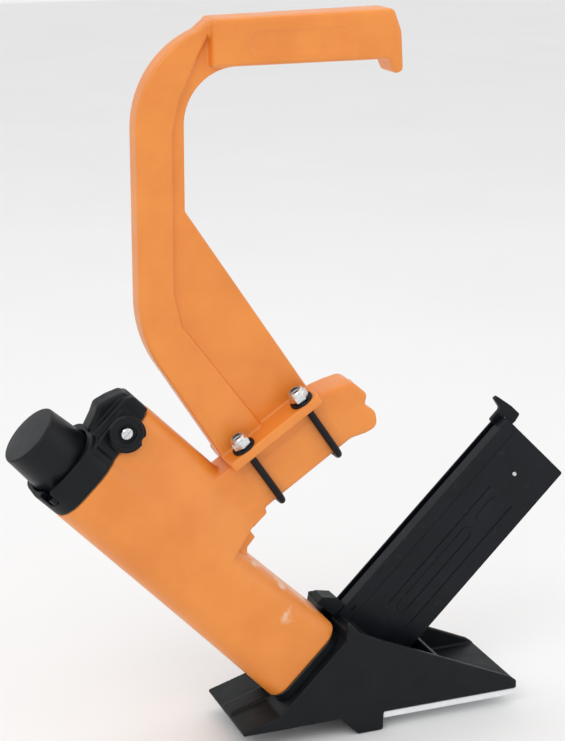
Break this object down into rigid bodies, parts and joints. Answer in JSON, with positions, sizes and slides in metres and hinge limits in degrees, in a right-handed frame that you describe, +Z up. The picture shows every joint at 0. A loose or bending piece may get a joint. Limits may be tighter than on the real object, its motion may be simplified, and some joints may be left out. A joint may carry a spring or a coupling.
{
  "type": "flooring nailer",
  "caption": "Mallet-struck pneumatic flooring nailer with a sloping cylinder, a long arched handle on an arm, a slanted fastener magazine and a flat sole with a tongue hook.",
  "frame": {"origin": "under the middle of the tool's length and width, level with the hook's lower edge", "axes": "+Z up with the sole level, +X from the strike cap towards the magazine, +Y away from the side with the exhaust deflector"},
  "size_m": [0.4655, 0.085, 0.5754],
  "materials": {
    "urethane": "urethane",
    "fibre_gasket": "fibre sheet",
    "black_steel": "black oxide and thin paint",
    "turned_aluminium": "turned",
    "bright_steel": "bright steel",
    "black_casting": "black paint over a cast surface",
    "orange_enamel": "orange enamel over a cast surface",
    "turned_brass": "turned",
    "black_rubber": "black rubber, faint sheen",
    "white_plastic": "white wear plastic"
  },
  "bodies": {
    "tool": {"bumper": "urethane", "cap_gasket": "fibre_gasket", "cap_screw_1": "black_steel", "cap_screw_2": "black_steel", "cap_screw_3": "black_steel", "cap_screw_4": "black_steel", "cylinder_sleeve": "turned_aluminium", "deflector_screw": "bright_steel", "driver_guide": "bright_steel", "frame_cap": "black_casting", "handle": "orange_enamel", "inlet_bushing": "turned_brass", "magazine_clamp": "black_casting", "magazine_cover": "black_steel", "magazine_floor": "bright_steel", "magazine_plate_far": "black_steel", "magazine_plate_near": "black_steel", "magazine_rail": "bright_steel", "magazine_rivet": "bright_steel", "main_housing": "orange_enamel", "nose_flange": "black_casting", "nose_gasket": "fibre_gasket", "nut_1": "bright_steel", "nut_2": "bright_steel", "nut_3": "bright_steel", "nut_4": "bright_steel", "pad_screw_1": "bright_steel", "pad_screw_2": "bright_steel", "pad_screw_3": "bright_steel", "pad_screw_4": "bright_steel", "plunger_spring": "bright_steel", "rail_screw_1": "bright_steel", "rail_screw_2": "bright_steel", "rail_screw_3": "bright_steel", "shoe": "black_casting", "sole_pad": "white_plastic", "u_bolt_1": "black_steel", "u_bolt_2": "black_steel", "valve_sleeve": "turned_brass", "washer_1": "black_steel", "washer_2": "black_steel", "washer_3": "black_steel", "washer_4": "black_steel"},
    "strike": {"strike_cap": "black_rubber", "plunger": "bright_steel"},
    "power_piston": {"piston": "turned_aluminium", "piston_ring": "black_rubber", "driver_blade": "bright_steel"},
    "pusher_block": {"pusher": "black_steel", "pusher_tab": "black_steel", "pusher_spring": "bright_steel"},
    "deflector": {"exhaust_deflector": "black_casting"},
    "head_valve_body": {"head_valve": "urethane"},
    "exhaust_valve_body": {"exhaust_valve": "urethane"}
  },
  "joints": [
    {"name": "strike_slide", "type": "slide", "parent": "tool", "child": "strike", "axis": [0.7071, 0, -0.7071], "range_m": [0, 0.009], "stiffness_N_per_m": 2500, "springref_m": -0.004, "deforming": ["plunger_spring"]},
    {"name": "drive_slide", "type": "slide", "parent": "tool", "child": "power_piston", "axis": [0.7071, 0, -0.7071], "range_m": [0, 0.078]},
    {"name": "pusher_slide", "type": "slide", "parent": "tool", "child": "pusher_block", "axis": [-0.7071, 0, -0.7071], "range_m": [0, 0.19]},
    {"name": "deflector_turn", "type": "hinge", "parent": "tool", "child": "deflector", "pos_m": [-0.14805, -0.025, 0.27416], "axis": [0, -1, 0], "continuous": true},
    {"name": "head_valve_lift", "type": "slide", "parent": "tool", "child": "head_valve_body", "axis": [-0.7071, 0, 0.7071], "range_m": [0, 0.0061]},
    {"name": "exhaust_valve_slide", "type": "slide", "parent": "tool", "child": "exhaust_valve_body", "axis": [0.7071, 0, -0.7071], "range_m": [0, 0.0061]}
  ],
  "couplings": [
    {"joint": "head_valve_lift", "follows": "strike_slide", "ratio": 0.6667},
    {"joint": "exhaust_valve_slide", "follows": "strike_slide", "ratio": 0.6667}
  ]
}
